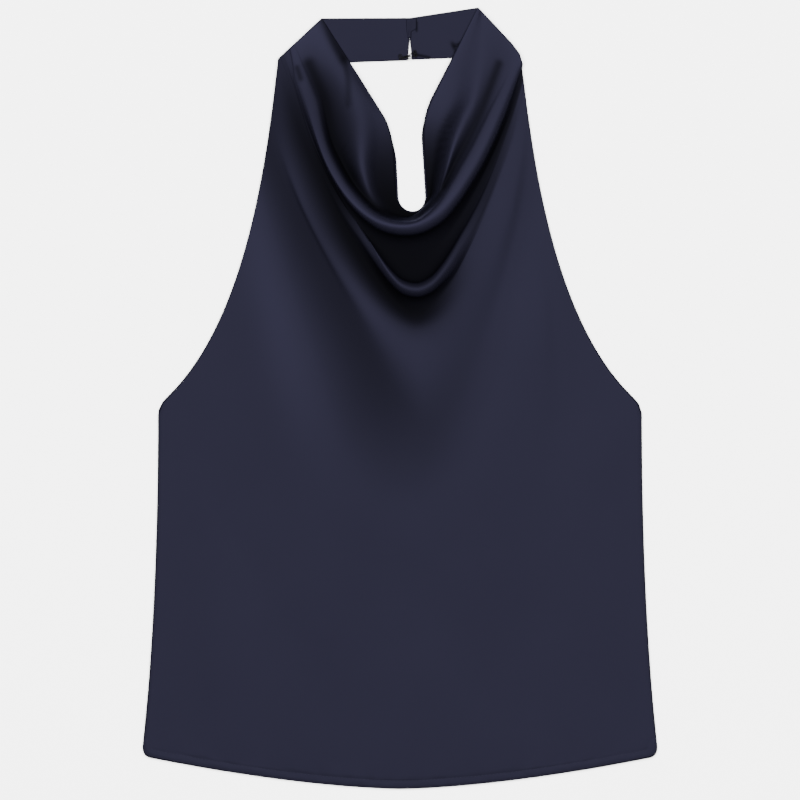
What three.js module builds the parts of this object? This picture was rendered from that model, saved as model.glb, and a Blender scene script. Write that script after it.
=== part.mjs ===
// A women's halter neck top in satin, laid flat with its back on the surface and its cowl neck up.
// Sizes are in millimetres. X runs across the top, Y from the hem to the neck, Z up from the surface.
// The origin is the middle of the top's outline, on the surface that the top lies on.
import * as THREE from 'three';

// Cloth
const CLOTH = 1.2; // wall of one panel
const BAND = 2.4; // wall of the neckband, which is doubled
const SEAM = 0.3; // pieces stand this far apart where they are sewn or lie on each other
const FRONT_REST = CLOTH + SEAM + CLOTH / 2; // middle of the front's wall where it lies on the back
const BAND_REST = BAND + SEAM + CLOTH / 2; // and where it lies on the neckband

// Outline from the shoulder to the hem, for the right half; the left half mirrors it
const ARMHOLE = {
  top: [108.3, 301.2],
  lean: 7,
  pull: 72.7,
  low: [207.2, 1.7],
  lowLean: 46.4,
  lowPull: 102.4,
};
const UNDERARM = { corner: [215.1, -5.9], end: [215.2, -12] };
const SIDE = { belly: [215.3, -185], end: [228.9, -308] };
const HEM_CORNER = { corner: [228.9, -317.5], end: [219, -320.1] };
const HEM = { low: -347, rise: 26.9, bend: 1.6 }; // its middle, and how it curves up to the corners

// Folded shoulder edges, where the front meets the neckband; the right one stands higher and rounds off
const SHOULDER_LEFT = [
  { x: -69.4, y: 337.7 },
  { x: -108.3, y: 301.2 },
];
const SHOULDER_RIGHT = [
  { x: 69.4, y: 347.5 },
  { x: 99.7, y: 315 },
  { x: 106.5, y: 307 },
  { x: 109.1, y: 298.1 },
  { x: 108.7, y: 293.6 },
];

// Neck opening: a straight run from the neckband, a bend, and the keyhole slit of the back
const NECK_LEFT = {
  top: [-68.5, 337.5],
  bend: [-13.4, 250],
  turn: [-5.5, 236],
  slit: [-3.1, 212],
  foot: [-1.6, 181],
};
const NECK_RIGHT = {
  top: [69, 346.9],
  bend: [28.5, 269],
  turn: [18.5, 249.5],
  slit: [19.3, 232],
  foot: [22.6, 181],
};
const NECK_LOW = [11.2, 167];
const NECK_ROUND = { side: 8, low: 7 }; // pull of the slit's round end on its sides and lowest point
const BACK_TOP = { left: 298, right: 306 }; // height of the outline at which each arm of the back ends
const BACK_BEHIND = 2; // the back's edge lies this far behind the front's beside the upper opening
const FRONT_BEHIND = 1.5; // the front's edge lies this far behind the back's beside the slit

// Neckband: height of its lower edge at centre back and how that edge slopes, and its open slit
const CENTRE_BACK = 8.6;
const BAND_LEFT = { top: 338.1, low: 301.4, slope: 0.032 };
const BAND_RIGHT = { top: 338.1, low: 302.2, slope: 0.0456 };
const BAND_SLIT = { apex: 320, left: 1.3, right: 1.7 }; // its top, and how far each half draws back from it
const BAND_ROUND = 0.6; // rounding of the band's long edges
const BAND_CLIMB = { from: 14, to: 4 }; // the front climbs onto the band between these distances below it

// Hook and eye at the foot of the band's slit
const WIRE = 0.8;
const EYE = { x: 9.7, y: 305, long: 3.3, wide: 1.7, turn: 42 };
const HOOK_ROUTE = [
  { x: 1.5, y: 301.9, z: 3.2 },
  { x: 4.5, y: 303.6, z: 3.3 },
  { x: 6.4, y: 303.9, z: 4.6 },
  { x: 7.8, y: 304.1, z: 4.7 },
  { x: 9.0, y: 304.5, z: 4.0 },
  { x: 9.4, y: 304.7, z: 2.9 },
];

// Lines of the front from the neck edge to the hem. Each runs from the left outline at height endL, down
// to its lowest point (lowX, lowY), and up to the right outline at height endR. lean is the angle from
// straight down at which it leaves the outline, pull and lowPull how far it keeps that way and lies level.
// Heights above the surface are given at seven places, from the left end to the right end.
const LINE_COLUMNS = [
  ...['name', 'endL', 'leanL', 'pullL', 'lowPullL', 'lowX', 'lowY'],
  ...['endR', 'leanR', 'pullR', 'lowPullR', 'heights'],
];
const LINES = [
  ['inner crease', 319, 42, 42, 55, 5.3, 159, 320, 19, 45, 38, [3.6, 3.4, 3.8, 15, 5, 4.4, 3.8]],
  ['neck roll', 313.6, 22, 38, 72, 5.3, 153, 301, 15, 25, 53, [4.8, 13, 20, 24, 22, 16, 5]],
  ['hollow', 309, 13, 85, 50, 12.5, 121.8, 291, 7, 28, 33, [4, 4.6, 4, 3, 3.6, 3.8, 2.8]],
  ['second roll', 305, 10, 84, 31, 13.4, 96.9, 282, 2, 30, 33, [3.8, 4.8, 9, 18, 13, 6.5, 2.6]],
  ['outer trough', 301.2, 9, 66, 32, 15.1, 76, 272, 5, 30, 35, [3.4, 3.4, 3, 3, 3, 3, 2.3]],
  ['third fold', 251, 16, 118, 30, 15.1, 60, 253, 8, 100, 46, [2.2, 6.5, 8.5, 8, 7.5, 5.5, 2.2]],
  ['soft valley', 220, 25, 110, 18, 22.2, -29.5, 217, 10, 100, 39, [2.1, 3.2, 3.2, 4.2, 4.4, 4, 2.1]],
  ['soft rise', 165, 14, 120, 70, 12, -100, 165, 14, 120, 70, [2.1, 5, 6, 4.8, 6, 5.2, 2.1]],
  ['breast', 100, 18, 110, 100, 6, -150, 100, 18, 110, 100, [2.1, 4.4, 4.4, 3.8, 4.8, 4.6, 2.1]],
  ['armhole', 40, 26, 100, 120, 2, -185, 40, 26, 100, 120, [2.1, 3.4, 4, 3.4, 4, 3.6, 2.1]],
  ['underarm', -3, 38, 90, 130, 0, -212, -3, 38, 90, 130, [2.1, 3, 3.6, 3.2, 3.4, 3.2, 2.1]],
  ['waist', -70, 50, 80, 130, 0, -240, -70, 50, 80, 130, [2.1, 3.6, 3, 3.2, 3, 3, 2.1]],
  ['high hip', -150, 60, 75, 130, 0, -275, -150, 60, 75, 130, [2.1, 3.8, 2.8, 3, 2.8, 3.2, 2.1]],
  ['hip', -235, 70, 70, 130, 0, -311, -235, 70, 70, 130, [2.1, 3, 2.6, 2.8, 2.6, 2.8, 2.1]],
  ['above hem', -296, 78, 70, 130, 0, -338, -296, 78, 70, 130, [2.1, 2.3, 2.2, 2.3, 2.2, 2.3, 2.1]],
];

// Heights of the neck edge and of those two lines at the same seven places
const NECK_EDGE_HEIGHTS = [3.3, 4.6, 2.6, 2.2, 2.6, 4.6, 3.3];
const SLIT_SIDE_HEIGHTS = [4, 6.2, 3.2, 3, 3.2, 6.2, 4];
const INNER_FOLD_HEIGHTS = [4.2, 7.4, 11, 9, 11, 8, 4.2];

// The inner fold beside the neck opening, and its foot, each from the left shoulder to the right one.
// low marks the lowest place of each.
const SLIT_SIDE = [
  { x: -71.5, y: 335.6 },
  { x: -52, y: 301 },
  { x: -34, y: 272 },
  { x: -22.5, y: 249 },
  { x: -19.5, y: 230 },
  { x: -20.5, y: 204 },
  { x: -14.5, y: 180 },
  { x: 9, y: 163.3, low: true },
  { x: 25.5, y: 177 },
  { x: 28.5, y: 202 },
  { x: 27, y: 232 },
  { x: 30.5, y: 253 },
  { x: 42, y: 278 },
  { x: 55, y: 306 },
  { x: 70.2, y: 346.4 },
];
const INNER_FOLD = [
  { x: -74.5, y: 332.9 },
  { x: -59.5, y: 303 },
  { x: -45.5, y: 276 },
  { x: -34, y: 250 },
  { x: -28.5, y: 228 },
  { x: -26, y: 203 },
  { x: -17.5, y: 176 },
  { x: 6, y: 161.3, low: true },
  { x: 28, y: 176 },
  { x: 35, y: 199 },
  { x: 37.5, y: 226 },
  { x: 44, y: 256 },
  { x: 56, y: 290 },
  { x: 63.5, y: 316 },
  { x: 71.8, y: 344.9 },
];

// Half widths of the two standing rolls at the same seven places: towards the neck and towards the hem
const ROLLS = {
  'neck roll': { inner: [2, 5, 5, 6, 8, 8, 3], outer: [2, 4.5, 5, 7, 6, 5, 2] },
  'second roll': { inner: [1.5, 2, 3, 4.5, 5, 3, 1.5], outer: [1.5, 2, 3.5, 5, 8, 5, 1.5] },
};
// A roll turns down at its shoulder and meets the cloth beside it at its foot: how far out in half widths,
// at most what share of the way to the next line, and what share of the height has dropped there
const ROLL_SHOULDER = { out: 0.8, reach: 0.42, drop: 0.28 };
const ROLL_FOOT = { out: 1.15, reach: 0.7, drop: 0.7 };

// Fineness of the front: places along each line, and rows between one line and the next
const PLACES = 52;
const CROWDING = 0.5; // share by which the places crowd towards the ends and the lowest point
const ROWS_BETWEEN = { 'outer trough': 2, 'third fold': 4, 'soft valley': 3, 'soft rise': 2, breast: 2 };

// Steps along the back's outline, the hem, the neck opening and the two wires
const OUTLINE_STEPS = 44;
const HEM_STEPS = 16;
const HEM_POINTS = 8;
const NECK_STEPS = 40;
const HOOK_STEPS = 16;
const EYE_STEPS = 16;
const WIRE_SIDES = 8;
const HALVINGS = 40; // of the search for a height on an outline

const SATIN = { color: 0x2b2b3c, roughness: 0.42, metalness: 0 };
const METAL = { color: 0x16161a, roughness: 0.35, metalness: 0.8 };

const radians = THREE.MathUtils.degToRad;
const vec = ([x, y]) => new THREE.Vector2(x, y);
const mirrored = ([x, y]) => [-x, y];

// Outline of one half from its shoulder to the hem's corner, as one path. side is -1 left, 1 right.
function outlineHalf(side) {
  const at = (p) => vec(side > 0 ? p : mirrored(p));
  const shoulder = side > 0 ? SHOULDER_RIGHT : SHOULDER_LEFT;
  const path = new THREE.CurvePath();
  shoulder.slice(1).forEach((p, i) => {
    const from = shoulder[i];
    path.add(new THREE.LineCurve(new THREE.Vector2(from.x, from.y), new THREE.Vector2(p.x, p.y)));
  });
  const last = shoulder[shoulder.length - 1];
  const lean = radians(ARMHOLE.lean);
  const lowLean = radians(ARMHOLE.lowLean);
  const [topX, topY] = ARMHOLE.top;
  const [lowX, lowY] = ARMHOLE.low;
  path.add(
    new THREE.CubicBezierCurve(
      new THREE.Vector2(last.x, last.y),
      at([topX + ARMHOLE.pull * Math.sin(lean), topY - ARMHOLE.pull * Math.cos(lean)]),
      at([lowX - ARMHOLE.lowPull * Math.sin(lowLean), lowY + ARMHOLE.lowPull * Math.cos(lowLean)]),
      at(ARMHOLE.low),
    ),
  );
  path.add(new THREE.QuadraticBezierCurve(at(ARMHOLE.low), at(UNDERARM.corner), at(UNDERARM.end)));
  path.add(new THREE.QuadraticBezierCurve(at(UNDERARM.end), at(SIDE.belly), at(SIDE.end)));
  return path;
}

// The hem from one corner to its middle, with the round corner that joins it to the side.
function hemHalf(side) {
  const at = (p) => vec(side > 0 ? p : mirrored(p));
  const [cornerX] = HEM_CORNER.end;
  const curve = new THREE.CurvePath();
  curve.add(new THREE.QuadraticBezierCurve(at(SIDE.end), at(HEM_CORNER.corner), at(HEM_CORNER.end)));
  const points = [];
  for (let i = 0; i <= HEM_POINTS; i++) {
    const x = cornerX * (1 - i / HEM_POINTS);
    points.push(at([x, HEM.low + HEM.rise * (x / cornerX) ** HEM.bend]));
  }
  curve.add(new THREE.SplineCurve(points));
  return curve;
}

// One side of the neck opening from the neckband to its lowest point, moved out from the opening by
// `upper` beside the straight run and by `lower` beside the slit.
function neckHalf(side, upper, lower) {
  const n = side > 0 ? NECK_RIGHT : NECK_LEFT;
  const out = ([x, y], by) => new THREE.Vector2(x + side * by, y);
  const low = new THREE.Vector2(NECK_LOW[0], NECK_LOW[1] - lower);
  const foot = out(n.foot, lower);
  const path = new THREE.CurvePath();
  path.add(new THREE.LineCurve(out(n.top, upper), out(n.bend, upper)));
  const turn = out(n.turn, (upper + lower) / 2);
  path.add(new THREE.QuadraticBezierCurve(out(n.bend, upper), turn, out(n.slit, lower)));
  path.add(new THREE.LineCurve(out(n.slit, lower), foot));
  path.add(
    new THREE.CubicBezierCurve(
      foot,
      new THREE.Vector2(foot.x, foot.y - NECK_ROUND.side),
      new THREE.Vector2(low.x + side * NECK_ROUND.low, low.y),
      low,
    ),
  );
  return path;
}

const outlines = { left: outlineHalf(-1), right: outlineHalf(1) };

// Share of the way along an outline at which it reaches height y.
function shareAtHeight(outline, y) {
  let above = 0;
  let below = 1;
  for (let i = 0; i < HALVINGS; i++) {
    const middle = (above + below) / 2;
    if (outline.getPoint(middle).y > y) above = middle;
    else below = middle;
  }
  return (above + below) / 2;
}

// Value of a list of evenly spread heights or widths at a share of the way along it.
function valueAt(list, share) {
  const curve = new THREE.SplineCurve(list.map((v, i) => new THREE.Vector2(i, v)));
  return curve.getPoint(share).y;
}

// Places along a line: 0 at the left outline, 0.5 at its lowest point, 1 at the right outline.
const shares = Array.from({ length: PLACES + 1 }, (_, i) => {
  const even = i / PLACES;
  const crowded = even - Math.sin(4 * Math.PI * even) / (4 * Math.PI);
  return THREE.MathUtils.lerp(even, crowded, CROWDING);
});

// A line's points at all places, from its left and right curves and its heights.
function linePoints(left, right, heights) {
  return shares.map((share) => {
    const p = share <= 0.5 ? left.getPointAt(share * 2) : right.getPointAt((1 - share) * 2);
    return new THREE.Vector3(p.x, p.y, valueAt(heights, share));
  });
}

function foldCurve(line, side) {
  const mark = side > 0 ? 'R' : 'L';
  const outline = side > 0 ? outlines.right : outlines.left;
  const end = outline.getPoint(shareAtHeight(outline, line['end' + mark]));
  const lean = radians(line['lean' + mark]);
  const pull = line['pull' + mark];
  const low = new THREE.Vector2(line.lowX, line.lowY);
  return new THREE.CubicBezierCurve(
    end,
    new THREE.Vector2(end.x - side * pull * Math.sin(lean), end.y - pull * Math.cos(lean)),
    new THREE.Vector2(low.x + side * line['lowPull' + mark], low.y),
    low,
  );
}

const lines = LINES.map((row) => Object.fromEntries(LINE_COLUMNS.map((column, i) => [column, row[i]])));

// A stretch of a curve, as a curve of its own.
class Stretch extends THREE.Curve {
  constructor(whole, from, to) {
    super();
    Object.assign(this, { whole, from, to });
  }
  getPoint(t) {
    return this.whole.getPoint(THREE.MathUtils.lerp(this.from, this.to, t));
  }
}

// A line of the front through a list of points, with its ends' shares of the two outlines.
function lineThrough(name, list, heights) {
  const whole = new THREE.SplineCurve(list.map((p) => new THREE.Vector2(p.x, p.y)));
  const low = list.findIndex((p) => p.low) / (list.length - 1);
  return {
    name,
    ends: [shareAtHeight(outlines.left, list[0].y), shareAtHeight(outlines.right, list[list.length - 1].y)],
    points: linePoints(new Stretch(whole, 0, low), new Stretch(whole, 1, low), heights),
  };
}

// Every line of the front, with its points and its ends' shares of the two outlines.
function frontLines() {
  const made = [
    {
      name: 'neck edge',
      ends: [0, 0],
      points: linePoints(neckHalf(-1, 0, FRONT_BEHIND), neckHalf(1, 0, FRONT_BEHIND), NECK_EDGE_HEIGHTS),
    },
    lineThrough('slit side', SLIT_SIDE, SLIT_SIDE_HEIGHTS),
    lineThrough('inner fold', INNER_FOLD, INNER_FOLD_HEIGHTS),
  ];
  for (const line of lines) {
    made.push({
      name: line.name,
      ends: [shareAtHeight(outlines.left, line.endL), shareAtHeight(outlines.right, line.endR)],
      points: linePoints(foldCurve(line, -1), foldCurve(line, 1), line.heights),
    });
  }
  made.push({
    name: 'hem',
    ends: [1, 1],
    points: linePoints(hemHalf(-1), hemHalf(1), [FRONT_REST, FRONT_REST]),
  });
  return made;
}

// A line beside a roll's crest, on the way to the line next to it.
function besideRoll(crest, next, widths, part) {
  const points = crest.points.map((p, i) => {
    const q = next.points[i];
    const gap = Math.hypot(q.x - p.x, q.y - p.y);
    const go = Math.min((part.out * valueAt(widths, shares[i])) / gap, part.reach);
    const flat = new THREE.Vector2(p.x, p.y).lerp(new THREE.Vector2(q.x, q.y), go);
    return new THREE.Vector3(flat.x, flat.y, THREE.MathUtils.lerp(p.z, q.z, part.drop));
  });
  const ends = crest.ends.map((share, i) => THREE.MathUtils.lerp(share, next.ends[i], part.reach / 2));
  return { name: 'beside', ends, points };
}

// All lines in order, with a shoulder and a foot on both sides of each standing roll.
function withRollSides(made) {
  const all = [];
  made.forEach((line, i) => {
    const roll = ROLLS[line.name];
    if (!roll) {
      all.push(line);
      return;
    }
    all.push(besideRoll(line, made[i - 1], roll.inner, ROLL_FOOT));
    all.push(besideRoll(line, made[i - 1], roll.inner, ROLL_SHOULDER));
    all.push(line);
    all.push(besideRoll(line, made[i + 1], roll.outer, ROLL_SHOULDER));
    all.push(besideRoll(line, made[i + 1], roll.outer, ROLL_FOOT));
  });
  return all;
}

// Lowest that the middle of the front's wall may lie, over the neckband and over the back.
function restHeight(y) {
  const { from, to } = BAND_CLIMB;
  const onBand = THREE.MathUtils.smoothstep(y, BAND_LEFT.low - from, BAND_LEFT.low - to);
  return THREE.MathUtils.lerp(FRONT_REST, BAND_REST, onBand);
}

// The middle surface of the front as rows of points, neck edge first.
function frontRows() {
  const all = withRollSides(frontLines());
  const acrossCurves = shares.map(
    (_, j) => new THREE.CatmullRomCurve3(all.map((line) => line.points[j]), false, 'centripetal'),
  );
  const rows = [];
  all.forEach((line, i) => {
    const steps = i === all.length - 1 ? 1 : ROWS_BETWEEN[line.name] ?? 1;
    for (let k = 0; k < steps; k++) {
      const share = (i + k / steps) / (all.length - 1);
      const row = acrossCurves.map((curve) => curve.getPoint(share));
      const next = all[Math.min(i + 1, all.length - 1)];
      [outlines.left, outlines.right].forEach((outline, e) => {
        const edge = outline.getPoint(THREE.MathUtils.lerp(line.ends[e], next.ends[e], k / steps));
        const end = row[e ? row.length - 1 : 0];
        end.set(edge.x, edge.y, end.z);
      });
      for (const p of row) p.z = Math.max(p.z, restHeight(p.y));
      rows.push(row);
    }
  });
  return rows;
}

// A wall of even thickness about a middle surface given as rows of points.
function wallAbout(rows, thickness) {
  const count = rows[0].length;
  const at = (r, c) => rows[Math.min(Math.max(r, 0), rows.length - 1)][Math.min(Math.max(c, 0), count - 1)];
  const positions = [];
  for (const face of [1, -1]) {
    rows.forEach((row, r) => {
      row.forEach((p, c) => {
        const along = new THREE.Vector3().subVectors(at(r, c + 1), at(r, c - 1));
        const down = new THREE.Vector3().subVectors(at(r + 1, c), at(r - 1, c));
        const normal = down.cross(along).normalize();
        const q = p.clone().addScaledVector(normal, (face * thickness) / 2);
        positions.push(q.x, q.y, q.z);
      });
    });
  }
  const under = rows.length * count;
  const id = (r, c) => r * count + c;
  const index = [];
  const quad = (a, b, c, d) => index.push(a, b, c, a, c, d);
  for (let r = 0; r < rows.length - 1; r++) {
    for (let c = 0; c < count - 1; c++) {
      const [a, b, d, e] = [id(r, c), id(r, c + 1), id(r + 1, c), id(r + 1, c + 1)];
      quad(a, d, e, b);
      quad(under + a, under + b, under + e, under + d);
    }
  }
  for (let c = 0; c < count - 1; c++) {
    const last = rows.length - 1;
    quad(id(0, c), id(0, c + 1), under + id(0, c + 1), under + id(0, c));
    quad(id(last, c + 1), id(last, c), under + id(last, c), under + id(last, c + 1));
  }
  for (let r = 0; r < rows.length - 1; r++) {
    const end = count - 1;
    quad(id(r + 1, 0), id(r, 0), under + id(r, 0), under + id(r + 1, 0));
    quad(id(r, end), id(r + 1, end), under + id(r + 1, end), under + id(r, end));
  }
  const geometry = new THREE.BufferGeometry();
  geometry.setAttribute('position', new THREE.Float32BufferAttribute(positions, 3));
  geometry.setIndex(index);
  geometry.computeVertexNormals();
  return geometry;
}

// A flat wall from an outline's points, lying on the surface.
function flatWall(points, thickness, round = 0) {
  const shape = new THREE.Shape(points);
  return new THREE.ExtrudeGeometry(shape, {
    depth: thickness - 2 * round,
    bevelEnabled: round > 0,
    bevelThickness: round,
    bevelSize: round,
    bevelOffset: -round,
    bevelSegments: 2,
  }).translate(0, 0, round);
}

// Height of the neckband's lower edge at x.
function bandLow(x) {
  const half = x < CENTRE_BACK ? BAND_LEFT : BAND_RIGHT;
  return half.low + half.slope * (x - CENTRE_BACK);
}

function frontPanel() {
  return wallAbout(frontRows(), CLOTH);
}

// The back: the same outline up to the neckband, with the keyhole and a narrow arm on each side of it.
function backPanel() {
  const points = [];
  const add = (p) => {
    const low = bandLow(p.x) - SEAM;
    points.push(new THREE.Vector2(p.x, Math.min(p.y, low)));
  };
  for (const side of [-1, 1]) {
    const outline = side > 0 ? outlines.right : outlines.left;
    const start = shareAtHeight(outline, side > 0 ? BACK_TOP.right : BACK_TOP.left);
    const outer = [];
    for (let i = 0; i <= OUTLINE_STEPS; i++) {
      outer.push(outline.getPoint(THREE.MathUtils.lerp(start, 1, i / OUTLINE_STEPS)));
    }
    const hem = hemHalf(side);
    for (let i = 1; i < HEM_STEPS; i++) outer.push(hem.getPointAt(i / HEM_STEPS));
    if (side < 0) {
      outer.forEach(add);
      add(hem.getPointAt(1));
    } else {
      outer.reverse().forEach(add);
    }
  }
  const right = neckHalf(1, BACK_BEHIND, 0).getSpacedPoints(NECK_STEPS);
  const left = neckHalf(-1, BACK_BEHIND, 0).getSpacedPoints(NECK_STEPS);
  const below = (p) => p.y < bandLow(p.x) - SEAM;
  const topOf = (inner) => {
    const i = inner.findIndex(below);
    const [p, q] = [inner[i - 1], inner[i]];
    return [new THREE.Vector2(THREE.MathUtils.lerp(p.x, q.x, 0.5), bandLow(q.x) - SEAM), ...inner.slice(i)];
  };
  topOf(right).forEach(add);
  topOf(left).reverse().slice(1).forEach(add);
  return flatWall(points, CLOTH);
}

// One half of the neckband, from the folded shoulder edge to centre back, where it draws back from the
// slit.
function bandHalf(side) {
  const shoulder = side > 0 ? SHOULDER_RIGHT.slice(0, 2) : SHOULDER_LEFT;
  const band = side > 0 ? BAND_RIGHT : BAND_LEFT;
  const centre = CENTRE_BACK + (side * SEAM) / 2;
  const back = centre + side * (side > 0 ? BAND_SLIT.right : BAND_SLIT.left);
  const endX = side > 0 ? SHOULDER_RIGHT[2].x : SHOULDER_LEFT[1].x;
  const points = [
    [centre, band.top],
    [centre, BAND_SLIT.apex],
    [back, bandLow(back)],
    [endX, bandLow(endX)],
    ...shoulder.map((p) => [p.x, p.y]).reverse(),
  ].map(vec);
  if (side < 0) points.reverse();
  return flatWall(points, BAND, BAND_ROUND);
}

// A closed ring of wire through points that lie in one level plane.
function ringOfWire(points) {
  const sides = WIRE_SIDES;
  const positions = [];
  const index = [];
  const count = points.length;
  points.forEach((p, i) => {
    const ahead = points[(i + 1) % count];
    const behind = points[(i + count - 1) % count];
    const tangent = new THREE.Vector3().subVectors(ahead, behind).normalize();
    const out = new THREE.Vector3(tangent.y, -tangent.x, 0);
    for (let k = 0; k < sides; k++) {
      const angle = (k / sides) * 2 * Math.PI;
      const q = p.clone().addScaledVector(out, (Math.cos(angle) * WIRE) / 2);
      positions.push(q.x, q.y, q.z + (Math.sin(angle) * WIRE) / 2);
      const [a, b] = [i * sides + k, i * sides + ((k + 1) % sides)];
      const [c, d] = [((i + 1) % count) * sides + k, ((i + 1) % count) * sides + ((k + 1) % sides)];
      index.push(a, c, d, a, d, b);
    }
  });
  const geometry = new THREE.BufferGeometry();
  geometry.setAttribute('position', new THREE.Float32BufferAttribute(positions, 3));
  geometry.setIndex(index);
  geometry.computeVertexNormals();
  return geometry;
}

// The eye: an oval loop of wire across the slit, just above the band.
function eye() {
  const turn = radians(EYE.turn);
  const points = [];
  for (let i = 0; i < EYE_STEPS; i++) {
    const angle = (i / EYE_STEPS) * 2 * Math.PI;
    const [u, v] = [EYE.long * Math.cos(angle), EYE.wide * Math.sin(angle)];
    points.push(
      new THREE.Vector3(
        EYE.x + u * Math.cos(turn) - v * Math.sin(turn),
        EYE.y + u * Math.sin(turn) + v * Math.cos(turn),
        BAND + SEAM + WIRE / 2,
      ),
    );
  }
  return ringOfWire(points);
}

// The hook: a wire from the left half of the band, over the eye's near end and down into its loop.
function hook() {
  const route = new THREE.CatmullRomCurve3(HOOK_ROUTE.map((p) => new THREE.Vector3(p.x, p.y, p.z)));
  const section = new THREE.Shape();
  section.absarc(0, 0, WIRE / 2, 0, 2 * Math.PI, false);
  return new THREE.ExtrudeGeometry(section, {
    extrudePath: route,
    steps: HOOK_STEPS,
    curveSegments: WIRE_SIDES / 2,
  });
}

function piece(name, geometry, finish) {
  const mesh = new THREE.Mesh(geometry, new THREE.MeshStandardMaterial(finish));
  mesh.name = name;
  return mesh;
}

const top = new THREE.Group();
top.add(
  piece('back_panel', backPanel(), SATIN),
  piece('neckband_left', bandHalf(-1), SATIN),
  piece('neckband_right', bandHalf(1), SATIN),
  piece('front_panel', frontPanel(), SATIN),
  piece('hook', hook(), METAL),
  piece('eye', eye(), METAL),
);

export default top;
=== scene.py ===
"""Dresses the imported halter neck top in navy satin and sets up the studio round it.

Lengths in the tables are in millimetres, as a pattern cutter would write them. X runs across the top,
Y from the hem to the neckband and Z up from the surface that the top lies on. Meshes are in metres.
"""
import math

import bpy
import numpy as np
from bpy.props import FloatProperty, FloatVectorProperty, IntProperty, PointerProperty
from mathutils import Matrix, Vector


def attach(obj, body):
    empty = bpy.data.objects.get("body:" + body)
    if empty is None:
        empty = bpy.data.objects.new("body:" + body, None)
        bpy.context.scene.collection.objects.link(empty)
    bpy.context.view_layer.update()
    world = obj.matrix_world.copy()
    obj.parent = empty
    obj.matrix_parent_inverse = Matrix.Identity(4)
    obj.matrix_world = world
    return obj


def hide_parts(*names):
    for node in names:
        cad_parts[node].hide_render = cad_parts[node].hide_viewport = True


bl_info = {
    "name": "Halter neck top",
    "version": (1, 0, 0),
    "blender": (4, 5, 0),
    "location": "View3D > Sidebar > Halter neck top",
    "description": "Makes the cloth, the fastening, the stitches and the studio of a halter neck top",
    "category": "Object",
}

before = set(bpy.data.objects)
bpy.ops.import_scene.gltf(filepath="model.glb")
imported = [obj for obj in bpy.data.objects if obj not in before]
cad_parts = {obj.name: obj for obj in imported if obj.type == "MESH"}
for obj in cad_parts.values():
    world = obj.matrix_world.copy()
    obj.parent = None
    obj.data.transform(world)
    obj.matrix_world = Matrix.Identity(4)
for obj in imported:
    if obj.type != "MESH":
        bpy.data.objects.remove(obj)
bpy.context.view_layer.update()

MM = 0.001

# Cloth: heights of the middle of each wall above the surface
CLOTH = 1.2
BAND = 2.4
SEAM = 0.3
FRONT_REST = CLOTH + SEAM + CLOTH / 2
BAND_REST = BAND + SEAM + CLOTH / 2
BAND_CLIMB = (14, 4)  # the front climbs onto the band between these distances below it

# Outline of the right half; the left half mirrors it below the shoulders
ARMHOLE = {
    "top": (108.3, 301.2), "lean": 7, "pull": 72.7,
    "low": (207.2, 1.7), "low_lean": 46.4, "low_pull": 102.4,
}
UNDERARM = {"corner": (215.1, -5.9), "end": (215.2, -12)}
SIDE = {"belly": (215.3, -185), "end": (229, -309)}
HEM_CORNER = {"corner": (229.2, -317.8), "end": (222, -319.3)}
HEM = {"low": -347, "rise": 27.7, "bend": 1.6}
SHOULDER_LEFT = [(-69.6, 338.7), (-108.4, 302.6)]
SHOULDER_RIGHT = [(69.4, 348.3), (99.9, 315.8), (106.5, 307), (109.1, 298.1), (108.7, 293.6)]

# Neck opening, the keyhole slit below it and the neckband above it
NECK_LEFT = {
    "top": (-68.5, 337.5), "bend": (-13.4, 250), "turn": (-5.5, 236),
    "slit": (-3.1, 212), "foot": (-1.6, 181),
}
NECK_RIGHT = {
    "top": (69, 346.9), "bend": (28.5, 269), "turn": (18.5, 249.5),
    "slit": (19.3, 232), "foot": (22.6, 181),
}
NECK_LOW = (11.2, 167)
NECK_ROUND = {"side": 8, "low": 7}  # pull of the slit's round end on its sides and on its lowest point
BACK_TOP = {"left": 298, "right": 306}  # height of the outline at which each arm of the back ends
BACK_BEHIND = 2  # the back's edge lies so far behind the front's at the neckband
FRONT_BEHIND = 1.5  # the front's edge lies so far behind the back's along the slit
CENTRE_BACK = 8.6
BAND_LEFT = {"top": 339, "low": 301.2, "slope": 0.036}
BAND_RIGHT = {"top": 339, "low": 301.6, "slope": 0.042}
BAND_SLIT = {"apex": 320, "left": 1.3, "right": 1.7}

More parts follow.
